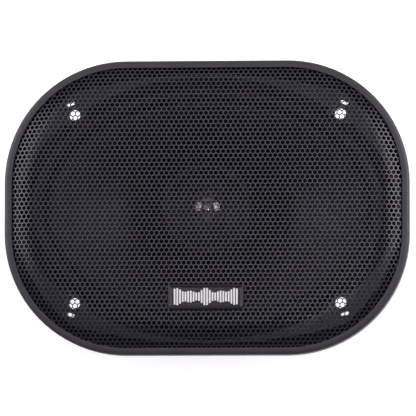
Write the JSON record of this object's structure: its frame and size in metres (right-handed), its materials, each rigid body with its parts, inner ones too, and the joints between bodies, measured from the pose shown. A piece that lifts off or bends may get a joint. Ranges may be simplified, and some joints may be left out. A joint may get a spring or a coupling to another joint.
{
  "type": "coaxial car speaker",
  "caption": "Oval two-way coaxial car speaker with a base ring and a clip-on perforated steel grille.",
  "frame": {"origin": "centre of the four mounting holes, in the plane where the base ring meets the panel", "axes": "+Z out of the front of the speaker, +X along the long axis, +Y along the short axis towards the side away from the badge"},
  "size_m": [0.246, 0.179, 0.1003],
  "materials": {
    "trim_plastic": "satin",
    "base_plastic": "matte",
    "mesh_steel": "satin",
    "badge_metal": "satin",
    "emblem_enamel": "gloss",
    "zinc_steel": "satin",
    "foam_gasket": "matte",
    "fibre_gasket": "matte",
    "basket_steel": "satin",
    "surround_rubber": "matte",
    "cone_fibre": "matte",
    "glue": "gloss",
    "filter_foam": "matte",
    "coil_former": "satin",
    "copper": "satin",
    "spider_cloth": "matte",
    "plated_steel": "satin",
    "ferrite": "matte",
    "boot_rubber": "matte",
    "tweeter_plastic": "satin",
    "magnet_nickel": "polished",
    "felt": "matte",
    "dome_metal": "satin",
    "dome_surround": "matte",
    "phenolic": "satin",
    "tinned_brass": "satin",
    "tinsel": "satin",
    "capacitor_sleeve": "gloss",
    "red_insulation": "satin",
    "black_insulation": "satin"
  },
  "bodies": {
    "root": {"base_ring": "base_plastic", "rear_gasket": "foam_gasket", "basket": "basket_steel", "front_gasket": "fibre_gasket", "surround": "surround_rubber", "dust_filter": "filter_foam", "spider": "spider_cloth", "top_plate": "plated_steel", "magnet": "ferrite", "back_plate": "plated_steel", "magnet_boot": "boot_rubber", "basket_rivets": "zinc_steel", "tweeter_post": "zinc_steel", "post_washer": "zinc_steel", "post_nut": "zinc_steel", "tweeter_housing": "tweeter_plastic", "tweeter_bezel": "tweeter_plastic", "tweeter_yoke": "plated_steel", "tweeter_magnet": "magnet_nickel", "tweeter_pole_cap": "plated_steel", "tweeter_felt_pad": "felt", "tweeter_surround": "dome_surround", "terminal_board": "phenolic", "board_rivets": "zinc_steel", "positive_tab": "tinned_brass", "negative_tab": "tinned_brass", "tab_rivets": "tinned_brass", "tinsel_lead_positive": "tinsel", "tinsel_lead_negative": "tinsel", "capacitor": "capacitor_sleeve", "tweeter_lead_positive": "red_insulation", "tweeter_lead_negative": "black_insulation"},
    "grille": {"grille_ring": "trim_plastic", "grille_mesh": "mesh_steel", "badge": "badge_metal", "badge_emblem": "emblem_enamel", "badge_push_nuts": "zinc_steel"},
    "cone_assembly": {"cone": "cone_fibre", "lead_anchors": "glue", "voice_coil_former": "coil_former", "voice_coil_winding": "copper"},
    "tweeter_diaphragm": {"tweeter_dome": "dome_metal", "tweeter_voice_coil": "copper"}
  },
  "joints": [
    {"name": "grille_lift", "type": "slide", "parent": "root", "child": "grille", "axis": [0, 0, 1], "range_m": [0, 0.05]},
    {"name": "cone_travel", "type": "slide", "parent": "root", "child": "cone_assembly", "axis": [0, 0, 1], "range_m": [-0.005, 0.005], "stiffness_N_per_m": 2000, "deforming": ["surround", "spider", "tinsel_lead_positive", "tinsel_lead_negative"]},
    {"name": "tweeter_travel", "type": "slide", "parent": "root", "child": "tweeter_diaphragm", "axis": [0, 0, 1], "range_m": [-0.0003, 0.0003], "stiffness_N_per_m": 500, "deforming": ["tweeter_surround"]}
  ]
}
